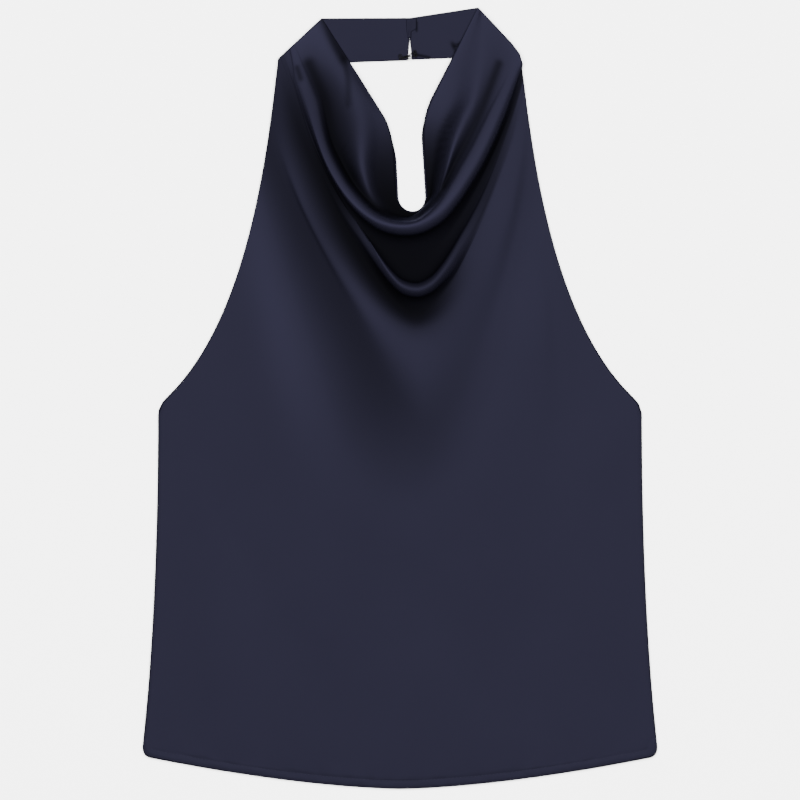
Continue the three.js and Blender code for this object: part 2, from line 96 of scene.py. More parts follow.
# Curved lines of the front, from the cowl to the hem: where each leaves the left outline, its lowest
# point, where it meets the right outline, and seven heights. END_REACH is the share of each line over
# which it moves to the outline, and CROWDING says how much its points gather at its ends and middle.
END_REACH = 0.16
CROWDING = {"front": 0.35, "back": 0.2}
LINE_COLUMNS = (
    "name end_l lean_l pull_l low_pull_l low_x low_y end_r lean_r pull_r low_pull_r heights"
).split()
LINES = [
    ("hollow", 309, 13, 85, 50, 13, 122.5, 291, 7, 28, 33, (3.9, 5.6, 7, 3, 3.4, 3, 2.8)),
    ("outer trough", 301.2, 9, 66, 32, 15.1, 76, 272, 5, 30, 35, (3.4, 5.4, 3.6, 3, 6.8, 4.4, 2.3)),
    ("third fold", 251, 16, 118, 30, 15.1, 60, 253, 8, 100, 46, (2.2, 6.2, 7.6, 7.2, 7.4, 5.2, 2.2)),
    ("soft valley", 220, 25, 110, 18, 22.2, -29.5, 217, 10, 100, 39, (2.1, 4.6, 5, 4.8, 4.8, 4, 2.1)),
    ("soft rise", 165, 14, 120, 70, 12, -100, 165, 14, 120, 70, (2.1, 5, 6, 4.8, 6, 5.2, 2.1)),
    ("breast", 100, 18, 110, 100, 6, -150, 100, 18, 110, 100, (2.1, 4.4, 4.4, 3.8, 4.8, 4.6, 2.1)),
    ("armhole", 40, 26, 100, 120, 2, -185, 40, 26, 100, 120, (2.1, 3.4, 4, 3.4, 4, 3.6, 2.1)),
    ("underarm", -3, 38, 90, 130, 0, -212, -3, 38, 90, 130, (2.1, 3, 3.6, 3.2, 3.4, 3.2, 2.1)),
    ("waist", -70, 50, 80, 130, 0, -240, -70, 50, 80, 130, (2.1, 3.6, 3, 3.2, 3, 3, 2.1)),
    ("high hip", -150, 60, 75, 130, 0, -275, -150, 60, 75, 130, (2.1, 3.8, 2.8, 3, 2.8, 3.2, 2.1)),
    ("hip", -235, 70, 70, 130, 0, -311, -235, 70, 70, 130, (2.1, 3, 2.6, 2.8, 2.6, 2.8, 2.1)),
    ("above hem", -296, 78, 70, 130, 0, -338, -296, 78, 70, 130, (2.1, 2.3, 2.2, 2.3, 2.2, 2.3, 2.1)),
]
NECK_EDGE_HEIGHTS = (3.3, 4.6, 2.6, 2.2, 2.6, 4.6, 3.3)

# Lines through points, from the left shoulder to the right one, with seven heights: the foot of the
# inner fold beside the neck opening, that fold, the crease behind the neck roll and the two rolls.
# Low counts the points up to the lowest one.
POINT_LINES = {
    "slit side": {"low": 7, "heights": (4, 7, 3.8, 3, 3.4, 6.4, 4), "points": [
        (-71.5, 335.6), (-52, 301), (-34, 272), (-22.5, 249), (-19.5, 230), (-20.5, 204), (-14.5, 180),
        (9, 163.3), (25.5, 177), (28.5, 197), (33.5, 230), (40.5, 250), (48, 268), (57, 303), (70.2, 346.4),
    ]},
    "inner fold": {"low": 7, "heights": (4.2, 7.6, 9.4, 5, 14.6, 10.5, 5), "points": [
        (-74.5, 332.9), (-59.5, 303), (-45.5, 276), (-37, 250), (-35.5, 228), (-33.2, 203), (-22, 177),
        (6, 161.3), (28.5, 177), (38, 196), (48.5, 230), (57, 250), (65, 268), (72, 306), (71.8, 344.9),
    ]},
    "inner crease": {"low": 12, "heights": (4.1, 4.4, 3.8, 11.5, 12, 10, 5), "points": [
        (-88.6, 321), (-85.3, 309), (-81, 297.2), (-74.8, 286.5), (-68.5, 268.7), (-65, 250),
        (-60.5, 230.4), (-52.5, 212.6), (-42.7, 194.8), (-32, 180.6), (-20.5, 169), (-7.1, 161.9),
        (5.3, 159.7), (16, 161), (24, 167.2), (31.2, 176.1), (38.3, 188.6), (48.5, 210),
        (59.6, 230.4), (71.2, 254.5), (81, 280.3), (87.2, 298.1), (89.4, 320.8),
    ]},
    "neck roll": {"low": 11, "heights": (4.6, 8.4, 13.5, 20.5, 18, 14, 5), "points": [
        (-94.3, 313.6), (-90.8, 301.6), (-87.7, 288.3), (-83.2, 267.8), (-78.3, 248.2), (-73, 230.4),
        (-66.3, 212.6), (-57, 194.8), (-46.3, 179.2), (-32.9, 165.8), (-17.8, 156.8), (0, 153),
        (17.8, 155.6), (35.6, 165.8), (49, 180.6), (58.7, 194.8), (69.4, 212.6), (78.3, 230.4),
        (87.2, 250), (94.3, 266), (101.5, 283.8), (105.5, 294.5), (108.8, 300.7),
    ]},
    "second roll": {"low": 12, "heights": (3.7, 5.3, 7, 17, 8.4, 3.8, 2.6), "points": [
        (-105.5, 305.3), (-98, 288), (-90, 264), (-80.5, 232), (-70, 208), (-58, 185),
        (-46, 166.5), (-35, 151.5), (-25.5, 136.5), (-16.5, 121.5), (-8, 109.5), (2, 100.3),
        (15.5, 97.2), (27.5, 102), (37, 111.5), (45.5, 123), (54, 136.5), (63.5, 152),
        (74, 172), (83.5, 195), (92, 220), (99.5, 245), (105, 266), (109.5, 282),
    ]},
}

# Painted light: how much light each line of the front gets, painted into the satin's colour at nine even
# places from its left end over its lowest point to its right end; below 1 it is painted shade, above 1 a
# painted highlight. Lines that aren't named lie open.
LIGHT_ON_LINES = {
    "neck edge": (1.2, 1.1, 1.02, 0.5, 0.15, 0.45, 1.05, 1.15, 1.2),
    "slit side": (1.15, 0.95, 1, 0.46, 0.12, 0.42, 1.05, 1.05, 1.1),
    "inner fold": (1.2, 1.05, 0.97, 0.97, 0.12, 1.02, 1.08, 1.08, 1.1),
    "inner crease": (1.2, 0.6, 0.4, 0.32, 0.4, 0.58, 0.8, 0.88, 1.1),
    "neck roll": (1.15, 0.98, 1.02, 1.15, 1.2, 1.15, 1.1, 1.1, 1.15),
    "hollow": (1, 0.65, 0.5, 0.34, 0.25, 0.42, 0.5, 0.5, 0.6),
    "second roll": (0.9, 0.5, 0.32, 0.95, 0.95, 0.85, 0.72, 0.85, 1),
    "outer trough": (0.9, 0.45, 0.28, 0.2, 0.25, 0.85, 0.97, 1, 1),
    "third fold": (0.8, 0.95, 0.88, 0.95, 0.88, 0.95, 1, 1, 1),
    "soft valley": (0.76, 0.7, 0.7, 0.74, 0.88, 0.97, 1, 1, 1),
    "soft rise": (1.12, 1.12, 1.08, 1, 1, 1, 1.02, 1.05, 1.05),
}
OPEN = (1, 1, 1, 1, 1)
# Least and most light that is painted on the front
LIGHT_RANGE = (0.02, 1.2)

# Half widths of the standing rolls at seven places, towards the neck and towards the hem, and where a
# roll turns down and meets the cloth beside it: half widths out, most share of the way, share dropped
ROLLS = {
    "neck roll": ((3, 11, 9, 6, 12, 12, 5), (3, 14, 9, 9, 8, 8, 3)),
    "second roll": ((2, 4, 7, 6, 8, 6, 2), (2, 4, 9, 7, 14, 12, 2)),
}
ROLL_SHOULDER = (0.8, 0.5, 0.2)
ROLL_FOOT = (1.2, 0.78, 0.68)
ROWS_BETWEEN = {
    "neck edge": 7, "slit side": 8, "inner fold": 9, "inner crease": 5, "neck roll": 6, "hollow": 8,
    "second roll": 6, "outer trough": 12, "third fold": 20, "soft valley": 16, "soft rise": 10,
    "breast": 8, "armhole": 6, "underarm": 6, "waist": 6, "high hip": 7, "hip": 7, "above hem": 12,
    "beside": 6,
}

# Small creases: points, half width, depth, and the share of the light that they lose, painted as shade along
# them
CREASES = [
    ([(-81, 298), (-75, 284), (-67, 264), (-62.5, 238), (-55, 216), (-43, 196)], 5, 0.3, 0.4),
    ([(88, 298), (81, 279), (71.2, 254.5), (59.6, 230.4), (48.5, 210), (39, 190)], 3.4, 0.3, 0.36),
    ([(-49.5, 303), (-46.5, 285), (-46, 262)], 3, 0.3, 0.2),
    ([(-66, 337), (-57, 317), (-49.5, 303)], 4.8, 0.5, 0.5),
    ([(-91.5, 294.5), (-88.5, 285)], 2.6, 0.2, 0.3),
]


def bezier(*points, steps=60):
    """Points along a straight, quadratic or cubic curve."""
    t = np.linspace(0, 1, steps + 1)[:, None]
    p = [np.asarray(q, float) for q in points]
    while len(p) > 1:
        p = [a + (b - a) * t for a, b in zip(p, p[1:])]
    return p[0]


def joined(*parts):
    """One line of points from several that follow each other."""
    return np.concatenate([parts[0]] + [p[1:] for p in parts[1:]])


def spline(values, at):
    """A smooth curve through evenly spread values, read at shares of its length from 0 to 1."""
    values = np.asarray(values, float)
    last = len(values) - 1
    place = np.clip(np.asarray(at, float), 0, 1) * last
    i = np.minimum(place.astype(int), last - 1)
    t = place - i
    p0, p1, p2, p3 = (values[np.clip(i + k, 0, last)] for k in (-1, 0, 1, 2))
    if values.ndim > 1:
        t = t[..., None]
    v0, v1 = (p2 - p0) / 2, (p3 - p1) / 2
    return (2 * p1 - 2 * p2 + v0 + v1) * t**3 + (-3 * p1 + 3 * p2 - 2 * v0 - v1) * t**2 + v0 * t + p1


class Line:
    """A line of points that is read by its share of length or by height."""

    def __init__(self, points):
        self.points = np.asarray(points, float)
        steps = np.linalg.norm(np.diff(self.points, axis=0), axis=1)
        self.length = np.concatenate([[0], np.cumsum(steps)])

    def at(self, share):
        place = np.asarray(share) * self.length[-1]
        return np.stack([np.interp(place, self.length, c) for c in self.points.T], axis=-1)

    def share_at_height(self, y):
        return float(np.interp(-y, -self.points[:, 1], self.length)) / self.length[-1]


def turned(point, side):
    return (side * point[0], point[1])


def outline_half(side):
    """One half of the outline, from its shoulder to the hem's corner."""
    at = lambda p: turned(p, side)
    shoulder = SHOULDER_RIGHT if side > 0 else SHOULDER_LEFT
    lean, low_lean = math.radians(ARMHOLE["lean"]), math.radians(ARMHOLE["low_lean"])
    top, low = ARMHOLE["top"], ARMHOLE["low"]
    parts = [bezier(a, b) for a, b in zip(shoulder, shoulder[1:])]
    from_top = (top[0] + ARMHOLE["pull"] * math.sin(lean), top[1] - ARMHOLE["pull"] * math.cos(lean))
    to_low = (
        low[0] - ARMHOLE["low_pull"] * math.sin(low_lean),
        low[1] + ARMHOLE["low_pull"] * math.cos(low_lean),
    )
    parts.append(bezier(shoulder[-1], at(from_top), at(to_low), at(low), steps=200))
    parts.append(bezier(at(low), at(UNDERARM["corner"]), at(UNDERARM["end"])))
    parts.append(bezier(at(UNDERARM["end"]), at(SIDE["belly"]), at(SIDE["end"]), steps=200))
    return Line(joined(*parts))


def hem_half(side):
    """The hem from one corner to its middle, with the round corner."""
    at = lambda p: turned(p, side)
    corner = HEM_CORNER["end"][0]
    x = corner * np.linspace(1, 0, 60)
    y = HEM["low"] + HEM["rise"] * (x / corner) ** HEM["bend"]
    round_corner = bezier(at(SIDE["end"]), at(HEM_CORNER["corner"]), at(HEM_CORNER["end"]), steps=20)
    return Line(joined(round_corner, np.stack([side * x, y], axis=1)))


def neck_half(side, upper, lower):
    """One side of the neck opening, from the neckband to its lowest point, moved out by upper and lower."""
    n = NECK_RIGHT if side > 0 else NECK_LEFT
    out = lambda name, by: (n[name][0] + side * by, n[name][1])
    low = (NECK_LOW[0], NECK_LOW[1] - lower)
    foot = out("foot", lower)
    return Line(joined(
        bezier(out("top", upper), out("bend", upper)),
        bezier(out("bend", upper), out("turn", (upper + lower) / 2), out("slit", lower)),
        bezier(out("slit", lower), foot),
        bezier(
            foot, (foot[0], foot[1] - NECK_ROUND["side"]),
            (low[0] + side * NECK_ROUND["low"], low[1]), low),
    ))


OUTLINES = {-1: outline_half(-1), 1: outline_half(1)}
HEMS = {-1: hem_half(-1), 1: hem_half(1)}
HEM_LINE = np.concatenate([HEMS[-1].points, HEMS[1].points[::-1]])
OUTER_LINE = np.concatenate([OUTLINES[-1].points, HEM_LINE, OUTLINES[1].points[::-1]])


def along(left, right, shares):
    """Points of a line from its left half and its right half; the halves meet at share 0.5."""
    on_left = shares <= 0.5
    return np.where(on_left[:, None], left.at(shares * 2), right.at((1 - shares) * 2))


def fold_half(row, side):
    """One half of a line of the table, from the outline to its lowest point."""
    mark = "_r" if side > 0 else "_l"
    outline = OUTLINES[side]
    end = outline.at(outline.share_at_height(row["end" + mark]))
    lean, pull = math.radians(row["lean" + mark]), row["pull" + mark]
    low = (row["low_x"], row["low_y"])
    leaves = (end[0] - side * pull * math.sin(lean), end[1] - pull * math.cos(lean))
    return Line(bezier(end, leaves, (low[0] + side * row["low_pull" + mark], low[1]), low, steps=160))


def front_lines(shares):
    """Every line of the front: name, points with height and painted light, and its ends' shares of the
    outlines.
    """
    made = []

    def add(name, points, heights, ends):
        light = spline(LIGHT_ON_LINES.get(name, OPEN), shares)
        made.append([name, np.column_stack([points, spline(heights, shares), light]), ends])

    def through(name):
        row = POINT_LINES[name]
        points = row["points"]
        low = row["low"] / (len(points) - 1)
        left = Line(spline(points, np.linspace(0, low, 200)))
        right = Line(spline(points, np.linspace(1, low, 200)))
        ends = (OUTLINES[-1].share_at_height(points[0][1]), OUTLINES[1].share_at_height(points[-1][1]))
        add(name, along(left, right, shares), row["heights"], ends)

    edge = along(neck_half(-1, 0, FRONT_BEHIND), neck_half(1, 0, FRONT_BEHIND), shares)
    add("neck edge", edge, NECK_EDGE_HEIGHTS, (0, 0))
    for name in ("slit side", "inner fold", "inner crease", "neck roll"):
        through(name)
    for values in LINES:
        row = dict(zip(LINE_COLUMNS, values))
        ends = (OUTLINES[-1].share_at_height(row["end_l"]), OUTLINES[1].share_at_height(row["end_r"]))
        add(row["name"], along(fold_half(row, -1), fold_half(row, 1), shares), row["heights"], ends)
        if row["name"] == "hollow":
            through("second roll")
    add("hem", along(HEMS[-1], HEMS[1], shares), (FRONT_REST, FRONT_REST), (1, 1))
    return made


def beside_roll(crest, other, widths, part, shares):
    """A line beside a roll's crest, on the way to the line next to it."""
    out, reach, drop = part
    p, q = crest[1], other[1]
    gap = np.linalg.norm(q[:, :2] - p[:, :2], axis=1)
    go = np.minimum(out * spline(widths, shares) / np.maximum(gap, 1e-6), reach)[:, None]
    points = np.column_stack([p[:, :2] + (q[:, :2] - p[:, :2]) * go, p[:, 2:] + (q[:, 2:] - p[:, 2:]) * drop])
    ends = tuple(a + (b - a) * reach / 2 for a, b in zip(crest[2], other[2]))
    return ["beside", points, ends]


def across(lines, i, t):
    """Points between line i and the next, on smooth curves that cross all lines."""
    p = [lines[min(max(i + k, 0), len(lines) - 1)][1] for k in (-1, 0, 1, 2)]
    step = [np.maximum(np.linalg.norm((b - a)[:, :3], axis=1), 1e-9) ** 0.5 for a, b in zip(p, p[1:])]
    if i == 0:
        step[0] = step[1]
        p[0] = 2 * p[1] - p[2]
    if i == len(lines) - 2:
        step[2] = step[1]
        p[3] = 2 * p[2] - p[1]
    d0, d1, d2 = (s[:, None] for s in step)
    v1 = ((p[1] - p[0]) / d0 - (p[2] - p[0]) / (d0 + d1) + (p[2] - p[1]) / d1) * d1
    v2 = ((p[2] - p[1]) / d1 - (p[3] - p[1]) / (d1 + d2) + (p[3] - p[2]) / d2) * d1
    a, b = p[1], p[2]
    return (2 * a - 2 * b + v1 + v2) * t**3 + (-3 * a + 3 * b - 2 * v1 - v2) * t**2 + v1 * t + a


def smooth(x, start, end):
    """0 before start, 1 after end, and soft between them."""
    t = np.clip((x - start) / (end - start), 0, 1)
    return t * t * (3 - 2 * t)


def bell(x, middle, width):
    return np.exp(-(((x - middle) / width) ** 2))


def place_shares(places, crowding):
    """Shares along a line, closer together towards its ends and its lowest point."""
    even = np.linspace(0, 1, places + 1)
    crowded = even - np.sin(4 * np.pi * even) / (4 * np.pi)
    return even + (crowded - even) * crowding


def front_surface(places):
    """The middle surface of the front as rows of points, neck edge first, and the light painted on each
    point.
    """
    shares = place_shares(places, CROWDING["front"])
    made = front_lines(shares)
    lines = []
    for i, line in enumerate(made):
        roll = ROLLS.get(line[0])
        if not roll:
            lines.append(line)
            continue
        for other, widths, parts in (
            (made[i - 1], roll[0], (ROLL_FOOT, ROLL_SHOULDER)),
            (made[i + 1], roll[1], (ROLL_SHOULDER, ROLL_FOOT)),
        ):
            if other is made[i + 1]:
                lines.append(line)
            for part in parts:
                lines.append(beside_roll(line, other, widths, part, shares))
    rows = []
    for i, (name, _, ends) in enumerate(lines[:-1]):
        following = lines[i + 1][2]
        steps = ROWS_BETWEEN[name]
        for k in range(steps + (i == len(lines) - 2)):
            t = k / steps
            row = across(lines, i, t)
            for end, side, column in ((0, -1, 0), (1, 1, -1)):
                share = ends[end] + (following[end] - ends[end]) * t
                moved = OUTLINES[side].at(share) - row[column, :2]
                from_end = shares if side < 0 else 1 - shares
                row[:, :2] += moved * (1 - smooth(from_end, 0, END_REACH))[:, None]
            rows.append(row)
    grid = np.array(rows)
    on_band = smooth(grid[..., 1], BAND_LEFT["low"] - BAND_CLIMB[0], BAND_LEFT["low"] - BAND_CLIMB[1])
    rest = FRONT_REST + (BAND_REST - FRONT_REST) * on_band
    grid[..., 2] = np.maximum(grid[..., 2], rest)
    return grid[..., :3], np.clip(grid[..., 3], *LIGHT_RANGE)


def band_low(x):
    """Height of the neckband's lower edge at x."""
    left = BAND_LEFT["low"] + BAND_LEFT["slope"] * (x - CENTRE_BACK)
    right = BAND_RIGHT["low"] + BAND_RIGHT["slope"] * (x - CENTRE_BACK)
    return np.where(np.asarray(x) < CENTRE_BACK, left, right)


def distance_to(line, grid):
    """Distance of each point of a grid to a line of points, seen from above."""
    flat = grid[..., :2].reshape(-1, 2)
    nearest = np.full(len(flat), 1e9)
    for start in range(0, len(flat), 4000):
        part = flat[start:start + 4000, None, :] - line[None, :, :]
        nearest[start:start + 4000] = np.sqrt((part**2).sum(axis=2).min(axis=1))
    return nearest.reshape(grid.shape[:-1])


def scatter(count, seed):
    """The same spread of numbers from -1 to 1 in each run."""
    return np.random.default_rng(seed).uniform(-1, 1, count)


def wander(x, step, seed):
    """A soft line of ups and downs from -1 to 1, one every step."""
    x = np.asarray(x, float)
    knots = scatter(int((x.max() - x.min()) / step) + 3, seed)
    return np.interp(x, x.min() + step * np.arange(len(knots)), knots)


def new_mesh(name, points, faces, flat=0):
    """A mesh from points in millimetres, shaded smooth except for its last flat faces."""
    mesh = bpy.data.meshes.new(name)
    mesh.from_pydata((np.asarray(points) * MM).tolist(), [], faces)
    mesh.polygons.foreach_set("use_smooth", [True] * (len(faces) - flat) + [False] * flat)
    return mesh


def wall(name, grid, thickness, shades, under=0.5):
    """A cloth wall about a grid of points, as one closed mesh, with its lengths as UV and its painted shade;
    its lower face gets the share of light under.
    """
    rows, columns = grid.shape[:2]
    along_row = np.gradient(grid, axis=1)
    down = np.gradient(grid, axis=0)
    normal = np.cross(down, along_row)
    normal /= np.maximum(np.linalg.norm(normal, axis=2, keepdims=True), 1e-9)
    half = np.broadcast_to(np.asarray(thickness, float) / 2, (rows, columns))[..., None]
    points = np.concatenate([(grid + normal * half).reshape(-1, 3), (grid - normal * half).reshape(-1, 3)])
    ids = np.arange(rows * columns).reshape(rows, columns)
    below = ids + rows * columns

    def strip(a, b, c, d):
        return np.stack([a.ravel(), b.ravel(), c.ravel(), d.ravel()], axis=1)

    faces = np.concatenate([
        strip(ids[:-1, :-1], ids[1:, :-1], ids[1:, 1:], ids[:-1, 1:]),
        strip(below[:-1, :-1], below[:-1, 1:], below[1:, 1:], below[1:, :-1]),
        strip(ids[0, :-1], ids[0, 1:], below[0, 1:], below[0, :-1]),
        strip(ids[-1, 1:], ids[-1, :-1], below[-1, :-1], below[-1, 1:]),
        strip(ids[1:, 0], ids[:-1, 0], below[:-1, 0], below[1:, 0]),
        strip(ids[:-1, -1], ids[1:, -1], below[1:, -1], below[:-1, -1]),
    ])
    mesh = new_mesh(name, points, faces.tolist())
    u = np.cumsum(np.linalg.norm(np.diff(grid, axis=1, prepend=grid[:, :1]), axis=2), axis=1)
    u -= u[:, columns // 2][:, None]
    v = np.cumsum(np.linalg.norm(np.diff(grid, axis=0, prepend=grid[:1]), axis=2), axis=0)
    uv = np.stack([u, v], axis=2).reshape(-1, 2) * MM
    layer = mesh.uv_layers.new(name="cloth")
    layer.data.foreach_set("uv", uv[faces % (rows * columns)].reshape(-1))
    both = np.concatenate([shades.ravel(), np.full(rows * columns, under)])
    return link(mesh, name, both)


# The front's painted shade is worked out from how much of the sky its folds leave open
SKY_PITCH = 2.0  # of the height map that the shade is worked out on
SKY_REACH = 60.0
SKY_WAYS = 16
SKY_SHADE = {"least": 0.6, "from": 0.6, "to": 0.97}  # light left in the deepest fold, and how open folds are


def open_to_light(grid):
    """How much of the light from above each point of a grid gets past the folds around it, from 0 to 1."""
    flat = grid.reshape(-1, 3)
    low = flat[:, :2].min(axis=0) - SKY_PITCH
    size = np.ceil((flat[:, :2].max(axis=0) - low) / SKY_PITCH).astype(int) + 2
    heights = np.zeros(size)
    cell = ((flat[:, :2] - low) / SKY_PITCH).astype(int)
    np.maximum.at(heights, (cell[:, 0], cell[:, 1]), flat[:, 2])
    for _ in range(3):
        padded = np.pad(heights, 1, mode="edge")
        around = np.max([padded[i:i + size[0], j:j + size[1]] for i in range(3) for j in range(3)], axis=0)
        heights = np.where(heights == 0, around, heights)
    reach = int(SKY_REACH / SKY_PITCH)
    total = np.zeros(size)
    for way in range(SKY_WAYS):
        angle = 2 * math.pi * way / SKY_WAYS
        horizon = np.zeros(size)
        for step in range(1, reach + 1):
            dx = int(round(step * math.cos(angle)))
            dy = int(round(step * math.sin(angle)))
            moved = np.zeros(size)
            xs = slice(max(0, -dx), size[0] - max(0, dx))
            ys = slice(max(0, -dy), size[1] - max(0, dy))
            xt = slice(max(0, dx), size[0] - max(0, -dx))
            yt = slice(max(0, dy), size[1] - max(0, -dy))
            moved[xs, ys] = heights[xt, yt]
            slope = (moved - heights) / (SKY_PITCH * math.hypot(dx, dy))
            horizon = np.maximum(horizon, slope)
        total += 1 / (1 + horizon**2)
    total /= SKY_WAYS
    place = (flat[:, :2] - low) / SKY_PITCH - 0.5
    i = np.clip(place.astype(int), 0, size - 2)
    t = np.clip(place - i, 0, 1)
    value = (
        total[i[:, 0], i[:, 1]] * (1 - t[:, 0]) * (1 - t[:, 1])
        + total[i[:, 0] + 1, i[:, 1]] * t[:, 0] * (1 - t[:, 1])
        + total[i[:, 0], i[:, 1] + 1] * (1 - t[:, 0]) * t[:, 1]
        + total[i[:, 0] + 1, i[:, 1] + 1] * t[:, 0] * t[:, 1]
    )
    return value.reshape(grid.shape[:-1])


def creased(grid, light):
    """Presses the small creases into the front and paints shade along them."""
    for points, width, depth, loss in CREASES:
        line = spline(points, np.linspace(0, 1, 60))
        near = bell(distance_to(line, grid), 0, width)
        grid[..., 2] -= depth * near
        light *= 1 - loss * near


# Ripples of the front: height, middle and half widths across and along the top
RIPPLES = [
    (0.3, (128, 100), (9, 85)), (0.22, (150, 100), (6, 85)), (-0.28, (139, 100), (6, 85)),
    (-0.2, (162, 100), (8, 85)), (0.5, (-160, -260), (22, 70)),
]
BODY_FROM_EDGE = (4, 30)  # they grow between these distances from the edge
# Puckers along the hem: height, length, seed, distance from the hem and half width
PUCKERS = [(0.22, 7, 5, 6.5, 3.2), (0.12, 13, 6, 11, 5)]
# The hem's turned edge: height and the distances between which it ends; depth, distance and half width
# of the groove at its stitches; and the height of the top below which all this lies
HEM_TURN = {"turn": (0.22, 6.2, 7.2), "groove": (0.3, 7.2, 0.8), "below": -280}
# The front's edge bends down to the back: how far and over what distance, at the side seams and the hem,
# and less at the armholes, which lie above the underarm
SEAM_CLOSES = {"seam": (0.55, 3.2), "armhole": (0.25, 1.6), "hem": 4}
UNDERARM_HEIGHTS = (-8, 14)


def front_details(grid):
    """Soft ripples, the turned hem, its puckers and the closed side seams, added to the front's heights."""
    x, y, z = grid[..., 0], grid[..., 1], grid[..., 2]
    edge = distance_to(OUTER_LINE, grid)
    from_hem = distance_to(HEM_LINE, grid)
    ripple = sum(
        height * bell(x, place[0], width[0]) * bell(y, place[1], width[1])
        for height, place, width in RIPPLES)
    pucker = sum(
        height * wander(x, length, seed) * bell(from_hem, middle, width)
        for height, length, seed, middle, width in PUCKERS)
    height, start, end = HEM_TURN["turn"]
    depth, middle, width = HEM_TURN["groove"]
    fold = height * (1 - smooth(from_hem, start, end)) - depth * bell(from_hem, middle, width)
    grid[..., 2] = z + ripple * smooth(edge, *BODY_FROM_EDGE) + (pucker + fold) * (y < HEM_TURN["below"])
    below_arm = 1 - smooth(y, *UNDERARM_HEIGHTS)
    seam = np.clip(below_arm + (from_hem < SEAM_CLOSES["hem"]), 0, 1)
    for (drop, reach), where in ((SEAM_CLOSES["seam"], seam), (SEAM_CLOSES["armhole"], 1 - below_arm)):
        grid[..., 2] -= drop * (1 - smooth(edge, 0, reach)) * where
    return grid


BACK_PLACES = 260
BACK_ROWS = 90
BACK_EDGES = 0.08  # how much the rows gather at the slit and at the outline
FLOOR_GAP = 0.02
# The back's wall: its thickness, and how much thicker or thinner it is between two distances from the
# slit or the hem; and depth, distance and half width of the groove at the hem's stitches
BACK_WALL = {
    "cloth": 0.9, "binding": (0.5, 1.6, 2.4), "rounding": (-0.35, 0, 0.7), "hem": (0.25, 6.4, 7.2),
    "groove": (0.3, 7.4, 0.6),
}


def back_surface(places, rows):
    """The flat back as rows of points, from the keyhole's edge to the outline and the hem."""
    def trimmed(points):
        points = points.copy()
        points[:, 1] = np.minimum(points[:, 1], band_low(points[:, 0]) - SEAM)
        left, right = (
            np.interp(-points[:, 1], -OUTLINES[side].points[:, 1], OUTLINES[side].points[:, 0])
            for side in (-1, 1))
        points[:, 0] = np.clip(points[:, 0], left, right)
        return points

    shares = place_shares(places, CROWDING["back"])
    inner_halves, outer_halves = {}, {}
    for side, top in ((-1, BACK_TOP["left"]), (1, BACK_TOP["right"])):
        edge = neck_half(side, BACK_BEHIND, 0).points
        edge = edge[edge[:, 1] < band_low(edge[:, 0]) - SEAM]
        inner_halves[side] = Line(edge)
        outline = OUTLINES[side]
        start = outline.share_at_height(top)
        outer = outline.at(np.linspace(start, 1, 400))
        outer_halves[side] = Line(trimmed(joined(outer, HEMS[side].points)))
    inner = along(inner_halves[-1], inner_halves[1], shares)
    outer = along(outer_halves[-1], outer_halves[1], shares)
    t = np.linspace(0, 1, rows + 1)[:, None, None]
    t = t + BACK_EDGES * np.sin(-4 * np.pi * t) / np.pi
    flat = np.stack([trimmed(row) for row in inner[None] * (1 - t) + outer[None] * t])
    return np.concatenate([flat, np.full(flat.shape[:2] + (1,), CLOTH / 2)], axis=2)


def back_details(grid):
    """The keyhole's turned edge and the turned hem, added to the back's thickness and heights."""
    inner = np.concatenate([neck_half(-1, BACK_BEHIND, 0).points, neck_half(1, BACK_BEHIND, 0).points[::-1]])
    from_slit = distance_to(inner, grid)
    from_hem = distance_to(HEM_LINE, grid)
    thickness = np.full(grid.shape[:2], BACK_WALL["cloth"])
    for distance, (more, start, end) in (
        (from_slit, BACK_WALL["binding"]), (from_slit, BACK_WALL["rounding"]), (from_hem, BACK_WALL["hem"]),
    ):
        thickness += more * (1 - smooth(distance, start, end))
    depth, middle, width = BACK_WALL["groove"]
    thickness -= depth * bell(from_hem, middle, width)
    grid[..., 2] = thickness / 2 + FLOOR_GAP
    return grid, thickness


# The end of the neckband's left half laps over the right half: how far at its top, where it narrows and
# how far below that, and its lower end just above the slit; then how deep it starts in the left half,
# how it rises and dips to its edge, its wall, its painted light, and the painted shade along its edge
# with that shade's half width
LAP = {
    "reach": 6.2, "narrows": (330, 326), "low_reach": 1.4, "low": 321.4, "behind": 3.0,
    "sunk": 0.5, "rise": 0.66, "dip": 0.2, "wall": 0.5, "light": 0.93, "painted_edge_shade": 0.2, "edge_width": 0.8,
}
# Marks on the neckband's right half: the fastening's stitches that pull in the cloth, a dimple and a
# crease, as points, half width, depth and the share of the light that they lose, painted as shade in them
BAND_MARKS = [
    ([(14.6, 334.6), (14.4, 331)], 1.2, 0.2, 0.4),
    ([(14.9, 329.6), (14.7, 327.4)], 0.9, 0.2, 0.4),
    ([(48.5, 313.8), (53.5, 315.2)], 1.6, 0.5, 0.45),
    ([(51.5, 306), (49, 311), (46.6, 316)], 1.8, 0.2, 0.3),
    ([(12.5, 307), (17.5, 305.2), (26, 303.6)], 1.1, 0.35, 0.5),
    ([(13, 308.6), (14.2, 304)], 0.9, 0.2, 0.5),
]


# The neckband's form; its light is painted on the whole band, a little below full
BAND_FORM = {"middle": 1.25, "half": 0.95, "round": 0.35, "pressed": 0.55, "press_reach": 1.6, "light": 0.97}
BAND_WAVES = {"height": 0.12, "length": 9, "seed": 31}


